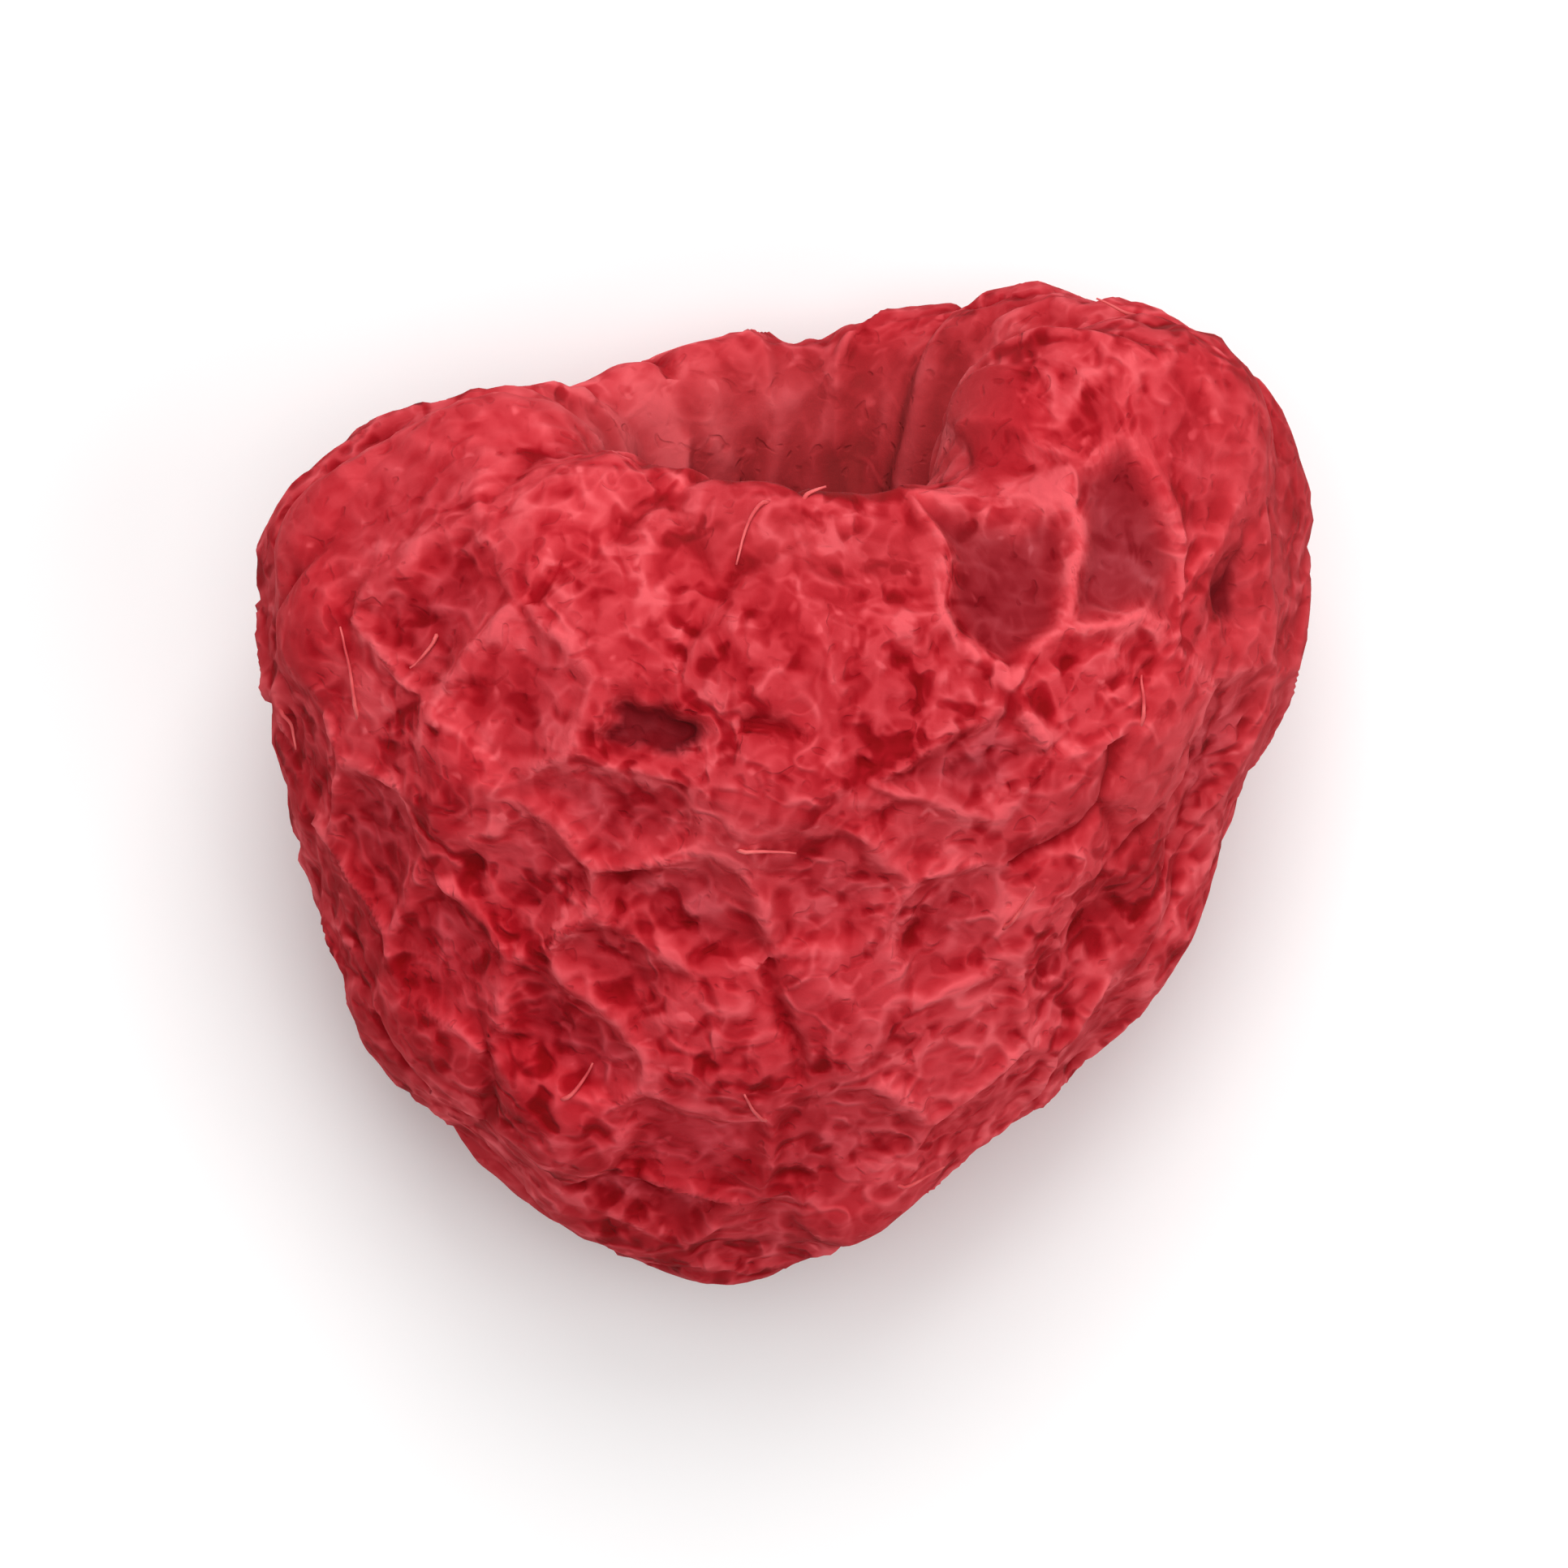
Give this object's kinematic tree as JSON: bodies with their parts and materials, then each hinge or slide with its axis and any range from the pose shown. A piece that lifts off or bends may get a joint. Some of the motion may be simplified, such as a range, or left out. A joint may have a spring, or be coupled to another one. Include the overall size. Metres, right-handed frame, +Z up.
{
  "type": "freeze-dried raspberry",
  "caption": "Whole freeze-dried raspberry lying on its side: a hollow cup of grown-together drupelets with a crumpled, matte skin.",
  "frame": {"origin": "middle of the bounding box, on the surface that the berry lies on", "axes": "+Z up, away from the surface; +Y towards the mouth of the hollow, the berry's tip pointing along -Y; +X across the berry"},
  "size_m": [0.023, 0.022, 0.016],
  "materials": {
    "dried_fruit": "matte, dry and slightly powdery"
  },
  "bodies": {
    "root": {"raspberry": "dried_fruit"}
  },
  "joints": []
}
